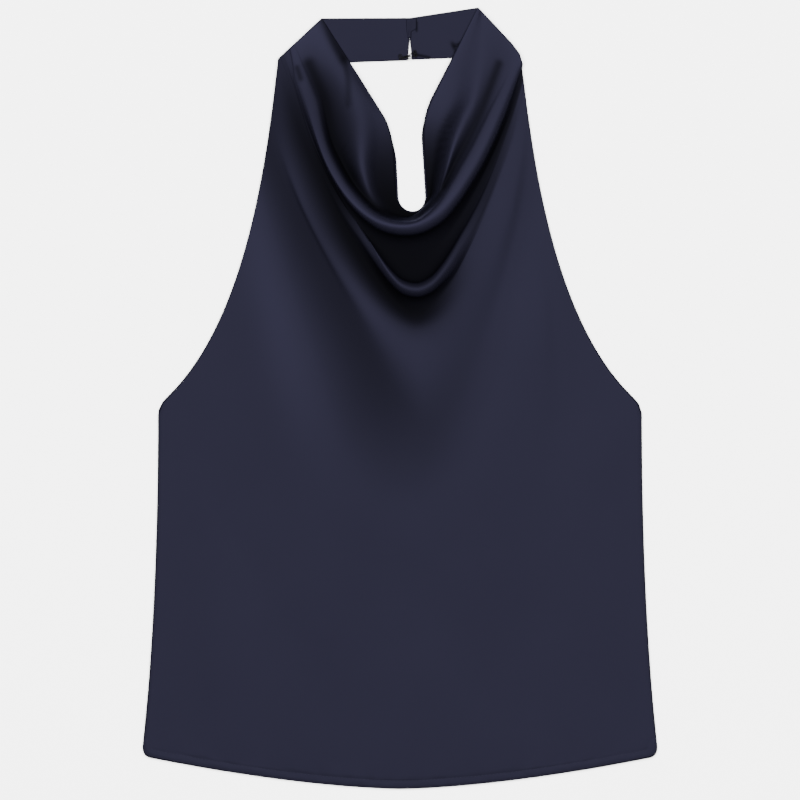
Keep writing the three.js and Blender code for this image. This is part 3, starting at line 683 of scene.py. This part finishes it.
def band_surface(side, columns=120, rows=36):
    """Points of one half of the neckband seen from above, and how far down it each row lies, from 0 to 1."""
    band = BAND_RIGHT if side > 0 else BAND_LEFT
    centre = CENTRE_BACK + side * SEAM / 2
    back = side * (BAND_SLIT["right"] if side > 0 else BAND_SLIT["left"])
    top_corner = SHOULDER_RIGHT[0] if side > 0 else SHOULDER_LEFT[0]
    far_low = SHOULDER_RIGHT[2][0] if side > 0 else SHOULDER_LEFT[1][0]
    share = np.linspace(0, 1, columns + 1)
    half = np.pi * np.linspace(0, 1, rows + 1)
    down = (1 - np.cos(half)) / 2
    x = np.empty((rows + 1, columns + 1))
    y = np.empty_like(x)
    for r, d in enumerate(down):
        opened = np.clip((d * (band["top"] - band["low"]) - (band["top"] - BAND_SLIT["apex"])) / (
            BAND_SLIT["apex"] - band["low"]), 0, 1)
        start = centre + back * opened
        end = top_corner[0] + (far_low - top_corner[0]) * d
        x[r] = start + (end - start) * share
        low = band_low(x[r] + 1e-4 * side)
        top = band["top"] + (top_corner[1] - band["top"]) * (x[r] - centre) / (top_corner[0] - centre)
        if side > 0:
            past = smooth(x[r], top_corner[0], SHOULDER_RIGHT[1][0])
            top = np.minimum(top, top_corner[1] + (SHOULDER_RIGHT[1][1] - top_corner[1]) * past)
        y[r] = top + (low - top) * d
    return x, y, down


def band_mesh(name, side):
    """One half of the neckband: a flattened tube of satin with rounded edges and soft creases, with painted
    shade in its marks and its light painted a little below full.
    """
    form, waves = BAND_FORM, BAND_WAVES
    x, y, down = band_surface(side)
    height = form["half"] * np.sin(np.pi * down)[:, None] ** form["round"] * np.ones_like(x)
    close = 1 - form["pressed"] * (1 - smooth(np.abs(x - CENTRE_BACK), 0, form["press_reach"]))
    upper = form["middle"] + height * close
    lower = form["middle"] - height * close
    light = np.full(x.shape, form["light"])
    for points, width, depth, loss in BAND_MARKS:
        near = bell(distance_to(bezier(*points, steps=30), np.stack([x, y], axis=2)), 0, width)
        upper -= depth * near
        light *= 1 - loss * near
    wave = wander(x[0], waves["length"], waves["seed"] + side)
    upper += waves["height"] * wave[None, :] * bell(down, 0.5, 0.3)[:, None]
    top = np.stack([x, y, upper], axis=2)
    bottom = np.stack([x, y, lower], axis=2)[1:-1][::-1]
    ring = np.concatenate([top, bottom])
    light = np.concatenate([light, light[1:-1][::-1]])
    if side < 0:
        ring, light = ring[:, ::-1], light[:, ::-1]
    rows, columns = ring.shape[:2]
    ids = np.arange(rows * columns).reshape(rows, columns)
    wrap = np.roll(ids, -1, axis=0)
    faces = np.stack([ids[:, :-1], wrap[:, :-1], wrap[:, 1:], ids[:, 1:]], axis=2).reshape(-1, 4)
    caps = [ids[:, 0].tolist(), ids[::-1, -1].tolist()]
    return link(new_mesh(name, ring.reshape(-1, 3), faces.tolist() + caps, len(caps)), name, light.ravel())


def lap_surface(columns=14, rows=36):
    """The end of the left half over the right one, as rows of points from its top edge down."""
    y = np.linspace(BAND_LEFT["top"] - 0.1, LAP["low"], rows + 1)[:, None]
    wide = smooth(y, LAP["narrows"][1], LAP["narrows"][0])
    reach = LAP["low_reach"] + (LAP["reach"] - LAP["low_reach"]) * wide
    share = np.linspace(0, 1, columns + 1)[None, :]
    x = CENTRE_BACK - LAP["behind"] + (LAP["behind"] + reach) * share
    z = BAND - LAP["sunk"] + LAP["rise"] * smooth(share, 0, 0.8) - LAP["dip"] * smooth(share, 0.75, 1) + 0 * y
    return np.stack([x, y + 0 * x, z], axis=2)


def tube(name, routes, radius, closed=False, sides=8):
    """Round threads or wires along routes of points, as one mesh; open ones thin out at their ends."""
    points, faces = [], []
    turn = np.linspace(0, 2 * math.pi, sides, endpoint=False)
    for route in routes:
        route = np.asarray(route, float)
        if closed:
            ahead = np.roll(route, -1, axis=0) - np.roll(route, 1, axis=0)
        else:
            ahead = np.gradient(route, axis=0)
        ahead /= np.linalg.norm(ahead, axis=1, keepdims=True)
        beside = np.cross(ahead, (0, 0, 1))
        beside /= np.maximum(np.linalg.norm(beside, axis=1, keepdims=True), 1e-9)
        above = np.cross(beside, ahead)
        size = np.full(len(route), float(radius))
        if not closed:
            size[[0, -1]] *= 0.55
        ring = route[:, None] + size[:, None, None] * (
            np.cos(turn)[None, :, None] * beside[:, None] + np.sin(turn)[None, :, None] * above[:, None])
        ids = len(points) + np.arange(len(route) * sides).reshape(len(route), sides)
        points += ring.reshape(-1, 3).tolist()
        following = np.roll(ids, -1, axis=0) if closed else ids[1:]
        start = ids if closed else ids[:-1]
        quads = np.stack(
            [start, following, np.roll(following, -1, axis=1), np.roll(start, -1, axis=1)], axis=2)
        faces += quads.reshape(-1, 4).tolist()
        if not closed:
            faces += [ids[0].tolist(), ids[-1][::-1].tolist()]
    return link(new_mesh(name, points, faces), name, 1.0)


def resting(places, grid, above):
    """Points at places seen from above, on the nearest points of a grid and so much above them."""
    flat = grid.reshape(-1, 3)
    nearest = [np.argmin(((flat[:, :2] - place) ** 2).sum(axis=1)) for place in places]
    return np.column_stack([places, flat[nearest, 2] + above])


def hem_stitches(grid, stitch, thickness):
    """Routes of the running stitches along the hem, each down into the cloth at both ends."""
    low = joined(HEMS[-1].points, HEMS[1].points[::-1][1:])
    low = low[np.abs(low[:, 0]) < HEM_CORNER["end"][0] + 1]
    away = np.gradient(low, axis=0)[:, ::-1] * (-1, 1)
    away /= np.linalg.norm(away, axis=1, keepdims=True)
    line = Line(low + away * stitch.hem / MM)
    length, gap = stitch.length / MM, stitch.gap / MM
    count = int(line.length[-1] / (length + gap))
    routes = []
    for k in range(count):
        start = (k + 0.5) * (length + gap)
        share = (start + length * np.array([0, 0.25, 0.75, 1])) / line.length[-1]
        above = thickness / 2 + stitch.thread / MM * np.array([-0.5, 0.3, 0.3, -0.5])
        routes.append(resting(line.at(np.minimum(share, 1)), grid, above))
    return routes


def link(mesh, name, light):
    """Puts a mesh into the scene as a piece, with how open to the light its points are, which the satin
    paints into its colour as shade and highlight.
    """
    values = np.broadcast_to(np.asarray(light, float), len(mesh.vertices))
    mesh.attributes.new("open_to_light", "FLOAT", "POINT").data.foreach_set("value", values)
    piece = bpy.data.objects.new(name, mesh)
    bpy.context.collection.objects.link(piece)
    return piece


# Finishes

# Places of a colour mix's sockets, whose names are shared with its other kinds
MIX_A, MIX_B = 6, 7
MIX_RESULT = 2

# The satin: how far its colour wanders, how much rougher its shaded folds are, its relief in metres and
# how it mirrors. The thread: how far its colour changes along its twist, and its relief.
SATIN = {
    "colours": (0.94, 1.06), "rougher": 0.2, "relief": 0.00006, "metallic": 0.6, "specular": 0.02,
    "specular_tint": (0.5, 0.5, 0.6, 1),
}
THREAD = {"colours": (0.7, 2.2), "relief": 0.00005, "strength": 0.4, "rough": 0.7, "specular": 0.05}


def group_of(name, inputs, outputs):
    """An empty shader group with its sockets, its nodes and its links."""
    group = bpy.data.node_groups.new(name, "ShaderNodeTree")
    for in_out, sockets in (("INPUT", inputs), ("OUTPUT", outputs)):
        for socket_name, kind, value in sockets:
            socket = group.interface.new_socket(
                name=socket_name, in_out=in_out, socket_type=f"NodeSocket{kind}")
            if value is not None:
                socket.default_value = value
    return group, group.nodes.new("NodeGroupInput"), group.nodes.new("NodeGroupOutput")


def node(tree, kind, **settings):
    made = tree.nodes.new(f"ShaderNode{kind}")
    for key, value in settings.items():
        setattr(made, key, value)
    return made


def math_node(tree, operation, a, b, clamp=False):
    made = node(tree, "Math", operation=operation, use_clamp=clamp)
    for socket, value in zip(made.inputs, (a, b)):
        if isinstance(value, bpy.types.NodeSocket):
            tree.links.new(value, socket)
        else:
            socket.default_value = value
    return made.outputs["Value"]


def set_inputs(made, values):
    """Sets a node's own sockets from their names or places."""
    for key, value in values.items():
        made.inputs[key].default_value = value


def shades_of(cloth, shares):
    """The two colours of a mix: the cloth's colour times each share."""
    return {place: (*[c * share for c in cloth], 1) for place, share in zip((MIX_A, MIX_B), shares)}


def principled(name):
    """A new material, its node tree and its shader."""
    material = bpy.data.materials.new(name)
    material.use_nodes = True
    return material, material.node_tree, material.node_tree.nodes["Principled BSDF"]


def bump_on(tree, shader, height, strength, distance):
    """Fine relief from a height, on a shader's normal."""
    relief = node(tree, "Bump")
    set_inputs(relief, {"Strength": strength, "Distance": distance})
    tree.links.new(height, relief.inputs["Height"])
    tree.links.new(relief.outputs["Normal"], shader.inputs["Normal"])


def weave_group():
    """Satin floats: fine slanting ribs broken up by thicker and thinner yarns."""
    if "Satin weave" in bpy.data.node_groups:
        return bpy.data.node_groups["Satin weave"]
    group, start, end = group_of(
        "Satin weave",
        (("Vector", "Vector", None), ("Yarns per metre", "Float", 2200.0), ("Yarn unevenness", "Float", 0.4)),
        (("Height", "Float", None),),
    )
    to = group.links.new
    turn = node(group, "Mapping")
    turn.inputs["Rotation"].default_value[2] = math.radians(24)
    ribs = node(group, "TexWave", wave_type="BANDS", bands_direction="X", wave_profile="SIN")
    slubs = node(group, "TexNoise")
    stretch = node(group, "Mapping")
    stretch.inputs["Scale"].default_value = (900, 60, 60)
    to(start.outputs["Vector"], turn.inputs["Vector"])
    to(start.outputs["Vector"], stretch.inputs["Vector"])
    to(turn.outputs["Vector"], ribs.inputs["Vector"])
    turns = math_node(group, "MULTIPLY", start.outputs["Yarns per metre"], 1 / (2 * math.pi))
    to(turns, ribs.inputs["Scale"])
    to(stretch.outputs["Vector"], slubs.inputs["Vector"])
    set_inputs(slubs, {"Scale": 1.0, "Detail": 2.0})
    uneven = math_node(group, "MULTIPLY", slubs.outputs["Fac"], start.outputs["Yarn unevenness"])
    to(math_node(group, "ADD", ribs.outputs["Fac"], uneven), end.inputs["Height"])
    return group


def shade_group():
    """Painted shade: cloth deep between the folds takes the colour of the shade there, and cloth with more
    than full light is painted lighter than the cloth.
    """
    if "Fold shade" in bpy.data.node_groups:
        return bpy.data.node_groups["Fold shade"]
    group, start, end = group_of(
        "Fold shade",
        (("Cloth", "Color", (1, 1, 1, 1)), ("Shade", "Color", (0, 0, 0, 1)), ("Open", "Float", 1.0),
         ("Depth", "Float", 1.75)),
        (("Color", "Color", None), ("Lit", "Float", None)),
    )
    to = group.links.new
    lit = math_node(group, "POWER", start.outputs["Open"], start.outputs["Depth"])
    mix = node(group, "Mix", data_type="RGBA", clamp_factor=False)
    to(lit, mix.inputs["Factor"])
    to(start.outputs["Shade"], mix.inputs[MIX_A])
    to(start.outputs["Cloth"], mix.inputs[MIX_B])
    to(mix.outputs[MIX_RESULT], end.inputs["Color"])
    to(lit, end.inputs["Lit"])
    return group


def satin(name, cloth, shade, roughness, bump=0.12):
    """Navy satin: a soft broad gloss, a fine weave, and painted shade that darkens the cloth deep in the
    folds.
    """
    material, tree, shader = principled(name)
    to = tree.links.new
    place = node(tree, "TexCoord")
    attribute = node(tree, "Attribute", attribute_name="open_to_light")
    weave = node(tree, "Group", node_tree=weave_group())
    folds = node(tree, "Group", node_tree=shade_group())
    to(place.outputs["Object"], weave.inputs["Vector"])
    to(attribute.outputs["Fac"], folds.inputs["Open"])
    folds.inputs["Shade"].default_value = (*shade, 1)
    uneven = node(tree, "TexNoise")
    set_inputs(uneven, {"Scale": 9.0, "Detail": 3.0})
    to(place.outputs["Object"], uneven.inputs["Vector"])
    tint = node(tree, "Mix", data_type="RGBA")
    to(uneven.outputs["Fac"], tint.inputs["Factor"])
    set_inputs(tint, shades_of(cloth, SATIN["colours"]))
    to(tint.outputs[MIX_RESULT], folds.inputs["Cloth"])
    to(folds.outputs["Color"], shader.inputs["Base Color"])
    rough = node(tree, "MapRange")
    set_inputs(rough, {"To Min": roughness + SATIN["rougher"], "To Max": roughness})
    to(folds.outputs["Lit"], rough.inputs["Value"])
    to(rough.outputs["Result"], shader.inputs["Roughness"])
    bump_on(tree, shader, weave.outputs["Height"], bump, SATIN["relief"])
    set_inputs(shader, {
        "Metallic": SATIN["metallic"], "Specular IOR Level": SATIN["specular"],
        "Specular Tint": SATIN["specular_tint"],
    })
    return material


def clothe(piece, material, slot, *nodes):
    """Gives a piece its finish, lets it ride on the top and hides the CAD nodes that it stands for."""
    piece.data.materials.clear()
    piece.data.materials.append(material)
    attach(piece, "root")
    if nodes:
        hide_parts(*nodes)
    return piece


def enamelled_wire():
    """Black enamel on bent wire, a little worn where hook and eye rub."""
    material, tree, shader = principled("Enamelled wire")
    place = node(tree, "TexCoord")
    wear = node(tree, "TexNoise")
    wear.inputs["Scale"].default_value = 1400
    tree.links.new(place.outputs["Object"], wear.inputs["Vector"])
    ramp = node(tree, "ValToRGB")
    ramp.color_ramp.elements[0].color = (0.0008, 0.0008, 0.001, 1)
    ramp.color_ramp.elements[0].position = 0.55
    ramp.color_ramp.elements[1].color = (0.004, 0.004, 0.005, 1)
    tree.links.new(wear.outputs["Fac"], ramp.inputs["Fac"])
    tree.links.new(ramp.outputs["Color"], shader.inputs["Base Color"])
    set_inputs(shader, {"Roughness": 0.35, "Specular IOR Level": 0.03})
    return material


def sewing_thread(cloth):
    """Two-ply thread in the colour of the cloth, with its twist."""
    if "Sewing thread" in bpy.data.materials:
        return bpy.data.materials["Sewing thread"]
    material, tree, shader = principled("Sewing thread")
    place = node(tree, "TexCoord")
    twist = node(tree, "TexWave", wave_type="BANDS", bands_direction="DIAGONAL", wave_profile="SIN")
    twist.inputs["Scale"].default_value = 480
    tree.links.new(place.outputs["Object"], twist.inputs["Vector"])
    plies = node(tree, "Mix", data_type="RGBA")
    tree.links.new(twist.outputs["Fac"], plies.inputs["Factor"])
    set_inputs(plies, shades_of(cloth, THREAD["colours"]))
    tree.links.new(plies.outputs[MIX_RESULT], shader.inputs["Base Color"])
    bump_on(tree, shader, twist.outputs["Fac"], THREAD["strength"], THREAD["relief"])
    set_inputs(shader, {"Roughness": THREAD["rough"], "Specular IOR Level": THREAD["specular"]})
    return material


# Softboxes: name, place, width and height, share of the power
LIGHTS = (
    ("softbox", (0, 0.8, 5.0), (7.5, 6.5), 6.4),
)
SENSOR = 36
VIEW_MIDDLE = -0.00098
FLOOR_SIZE = 8
FLOOR_HEIGHT = -0.0002
FAR_CLIP = 50


# Settings that a user would change

class ClothSettings(bpy.types.PropertyGroup):
    """Sizes and colours of the satin."""

    colour: FloatVectorProperty(
        name="Satin", description="Colour of the satin in full light", subtype="COLOR",
        default=(0.0039, 0.0037, 0.007), min=0, max=1)
    shade: FloatVectorProperty(
        name="Shade", description="Colour of the satin deep in a fold", subtype="COLOR",
        default=(0.0007, 0.0007, 0.0009), min=0, max=1)
    roughness: FloatProperty(
        name="Gloss spread", description="Roughness of the satin's gloss", subtype="FACTOR",
        default=0.55, min=0.05, max=1)
    thickness: FloatProperty(
        name="Thickness", description="Thickness of one layer of satin, in metres", unit="LENGTH",
        default=0.0008, min=0.0002, max=0.002)
    places: IntProperty(
        name="Fineness", description="Steps of the front from one armhole to the other",
        default=230, min=60, max=300)


# Heights over the band along each stitch of the fastening, in threads, and each stitch's start and end
STITCH_ARCH = (-1.5, 0, 0.6, 0, -1.5)
HAND_STITCHES = [
    ((9.6, 326.5), (9.4, 324.8)), ((11.4, 326.5), (11.2, 324.6)), ((12.8, 326.5), (12.6, 325.1)),
    ((11.4, 319.4), (11, 317.2)), ((11.7, 316.3), (11.9, 315)), ((13.2, 312.7), (13.9, 310.9)),
    ((12.6, 310.1), (14, 308.7)), ((12.5, 307.9), (13.8, 306.1)), ((3.1, 303.8), (4.6, 305)),
    ((1.6, 305), (2.4, 302.9)), ((0, 304.8), (0.3, 302.6)),
]
# The hook is bent from a doubled wire that ends in two rings, and the eye has two rings of its own
HOOK_STRAND = [
    (1, 303, 3.2), (4.3, 304.4, 3.4), (6.2, 304.7, 4.7),
    (7.6, 304.9, 4.8), (8.8, 305.2, 4.1), (9.3, 305.2, 2.9),
]
STRAND = 0.5  # half its thickness
RINGS = [
    ("hook_ring_low", (0.6, 302.6, 2.9)), ("hook_ring_high", (0.2, 305, 2.9)),
    ("eye_ring_low", (13.9, 305.9, 2.9)), ("eye_ring_high", (13.2, 308.6, 2.9)),
]
RING = {"radius": 1.25, "wire": 0.4, "steps": 24}


class StitchSettings(bpy.types.PropertyGroup):
    """Sizes of the sewing."""

    length: FloatProperty(
        name="Length", description="Length of one stitch, in metres", unit="LENGTH",
        default=0.0024, min=0.001, max=0.005)
    gap: FloatProperty(
        name="Gap", description="Space between one stitch and the next, in metres", unit="LENGTH",
        default=0.0009, min=0.0002, max=0.004)
    thread: FloatProperty(
        name="Thread", description="Thickness of the thread, in metres", unit="LENGTH",
        default=0.0003, min=0.0001, max=0.001)
    hem: FloatProperty(
        name="Hem", description="Distance of the stitches from the hem's edge, in metres", unit="LENGTH",
        default=0.0072, min=0.003, max=0.02)


class StudioSettings(bpy.types.PropertyGroup):
    """Light, floor and camera."""

    power: FloatProperty(
        name="Softbox", description="Power of the softbox over the top", subtype="POWER",
        default=400, min=0, max=2000)
    fill: FloatProperty(
        name="Room light", description="Strength of the even light of the room",
        default=0.3, min=0, max=5)
    floor: FloatVectorProperty(
        name="Floor", description="Colour of the floor", subtype="COLOR",
        default=(0.9, 0.9, 0.9), min=0, max=1)
    lens: FloatProperty(
        name="Lens", description="Focal length of the camera, in millimetres", default=300, min=50, max=400)
    view: FloatProperty(
        name="View", description="Width of the floor that the camera sees, in metres", unit="LENGTH",
        default=0.712, min=0.3, max=2)


# Pieces

class TOP_OT_front(bpy.types.Operator):
    """Make the front with its cowl, folds and hem"""

    bl_idname = "halter_top.front"
    bl_label = "Front"

    def execute(self, context):
        cloth = context.scene.halter_cloth
        grid, light = front_surface(cloth.places)
        creased(grid, light)
        grid = front_details(grid)
        # Painted shade: the lines' light is darkened where the folds close off the sky, and painted into the
        # satin's colour
        lit = smooth(open_to_light(grid), SKY_SHADE["from"], SKY_SHADE["to"])
        light = light * (SKY_SHADE["least"] + (1 - SKY_SHADE["least"]) * lit)
        piece = wall("front", grid, cloth.thickness / MM, light)
        material = satin("Navy satin", cloth.colour, cloth.shade, cloth.roughness)
        clothe(piece, material, "satin", "front_panel")
        stitch = context.scene.halter_stitches
        routes = hem_stitches(grid, stitch, cloth.thickness / MM)
        sewn = tube("hem_stitches", routes, stitch.thread / MM / 2, sides=6)
        clothe(sewn, sewing_thread(cloth.colour), "satin")
        return {"FINISHED"}


class TOP_OT_back(bpy.types.Operator):
    """Make the back with its keyhole and the arms up to the neckband"""

    bl_idname = "halter_top.back"
    bl_label = "Back"

    def execute(self, context):
        cloth = context.scene.halter_cloth
        grid, thickness = back_details(back_surface(BACK_PLACES, BACK_ROWS))
        piece = wall("back", grid, thickness, np.ones(grid.shape[:2]), under=1.0)
        material = satin("Navy satin of the back", cloth.colour, cloth.shade, cloth.roughness)
        clothe(piece, material, "satin", "back_panel")
        return {"FINISHED"}


class TOP_OT_neckband(bpy.types.Operator):
    """Make the two halves of the neckband"""

    bl_idname = "halter_top.neckband"
    bl_label = "Neckband"

    def execute(self, context):
        cloth = context.scene.halter_cloth
        material = satin("Navy satin of the neckband", cloth.colour, cloth.shade, cloth.roughness)
        for side, name, node_name in (
            (-1, "neckband_left_half", "neckband_left"),
            (1, "neckband_right_half", "neckband_right"),
        ):
            piece = band_mesh(name, side)
            clothe(piece, material, "satin", node_name)
        lap = lap_surface()
        # Painted shade along the lap's outer edge
        edge = bell(lap[..., 0], lap[..., 0].max(axis=1)[:, None], LAP["edge_width"])
        piece = wall("neckband_lap", lap, LAP["wall"], LAP["light"] - LAP["painted_edge_shade"] * edge)
        clothe(piece, material, "satin")
        return {"FINISHED"}


class TOP_OT_fastening(bpy.types.Operator):
    """Make the hook and the eye at the foot of the neckband's slit"""

    bl_idname = "halter_top.fastening"
    bl_label = "Hook and eye"

    def execute(self, context):
        wire = enamelled_wire()
        clothe(tube("hook_strand", [spline(HOOK_STRAND, np.linspace(0, 1, 40))], STRAND), wire, "wire")
        around = np.linspace(0, 2 * math.pi, RING["steps"], endpoint=False)
        circle = RING["radius"] * np.stack([np.cos(around), np.sin(around), 0 * around], axis=1)
        for name, middle in RINGS:
            clothe(tube(name, [circle + middle], RING["wire"], closed=True), wire, "wire")
        stitch, cloth = context.scene.halter_stitches, context.scene.halter_cloth
        routes = []
        for start, end in HAND_STITCHES:
            flat = bezier(start, end, steps=4)
            routes.append(np.column_stack([flat, BAND + stitch.thread / MM * np.array(STITCH_ARCH)]))
        sewn = tube("fastening_stitches", routes, stitch.thread / MM / 2, sides=6)
        clothe(sewn, sewing_thread(cloth.colour), "satin")
        for name in ("hook", "eye"):
            node_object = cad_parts[name]
            node_object.data.materials.clear()
            node_object.data.materials.append(wire)
        return {"FINISHED"}


class TOP_OT_studio(bpy.types.Operator):
    """Set the floor, the lights and the camera"""

    bl_idname = "halter_top.studio"
    bl_label = "Studio"

    def execute(self, context):
        studio = context.scene.halter_studio
        bpy.ops.object.select_all(action="DESELECT")
        bpy.ops.mesh.primitive_plane_add(size=FLOOR_SIZE, location=(0, 0, FLOOR_HEIGHT))
        floor = context.object
        floor.name = "floor"
        material, _, shader = principled("White paper")
        set_inputs(shader, {"Base Color": (*studio.floor, 1), "Roughness": 0.9, "Specular IOR Level": 0.1})
        floor.data.materials.append(material)
        for name, place, size, power in LIGHTS:
            lamp = bpy.data.lights.new(name, "AREA")
            lamp.shape = "RECTANGLE"
            lamp.size, lamp.size_y = size
            lamp.energy = power * studio.power
            light = bpy.data.objects.new(name, lamp)
            light.location = place
            light.rotation_euler = (Vector((0, 0, 0)) - Vector(place)).to_track_quat("-Z", "Y").to_euler()
            context.collection.objects.link(light)
        world = bpy.data.worlds.new("Studio")
        world.use_nodes = True
        background = world.node_tree.nodes["Background"]
        set_inputs(background, {"Color": (1, 1, 1, 1), "Strength": studio.fill})
        context.scene.world = world
        lens = bpy.data.cameras.new("camera")
        lens.lens = studio.lens
        lens.sensor_width = SENSOR
        lens.clip_end = FAR_CLIP
        camera = bpy.data.objects.new("camera", lens)
        camera.location = (0, VIEW_MIDDLE, studio.view * studio.lens / SENSOR)
        context.collection.objects.link(camera)
        context.scene.camera = camera
        return {"FINISHED"}


PIECES = (TOP_OT_back, TOP_OT_neckband, TOP_OT_front, TOP_OT_fastening, TOP_OT_studio)


class TOP_PT_panel(bpy.types.Panel):
    """Lists the pieces of the top and their settings."""

    bl_idname = "TOP_PT_panel"
    bl_label = "Halter neck top"
    bl_space_type = "VIEW_3D"
    bl_region_type = "UI"
    bl_category = "Halter neck top"

    def draw(self, context):
        layout = self.layout
        for group in ("halter_cloth", "halter_stitches", "halter_studio"):
            settings = getattr(context.scene, group)
            box = layout.box()
            for name in settings.bl_rna.properties.keys():
                if name not in ("name", "rna_type"):
                    box.prop(settings, name)
        for piece in PIECES:
            layout.operator(piece.bl_idname)


CLASSES = (ClothSettings, StitchSettings, StudioSettings, *PIECES, TOP_PT_panel)


def register():
    for made in CLASSES:
        bpy.utils.register_class(made)
    bpy.types.Scene.halter_cloth = PointerProperty(type=ClothSettings)
    bpy.types.Scene.halter_stitches = PointerProperty(type=StitchSettings)
    bpy.types.Scene.halter_studio = PointerProperty(type=StudioSettings)


def unregister():
    del bpy.types.Scene.halter_studio
    del bpy.types.Scene.halter_stitches
    del bpy.types.Scene.halter_cloth
    for made in reversed(CLASSES):
        bpy.utils.unregister_class(made)


def main():
    register()
    bpy.ops.halter_top.back()
    bpy.ops.halter_top.neckband()
    bpy.ops.halter_top.front()
    bpy.ops.halter_top.fastening()
    bpy.ops.halter_top.studio()


if __name__ == "__main__":
    main()
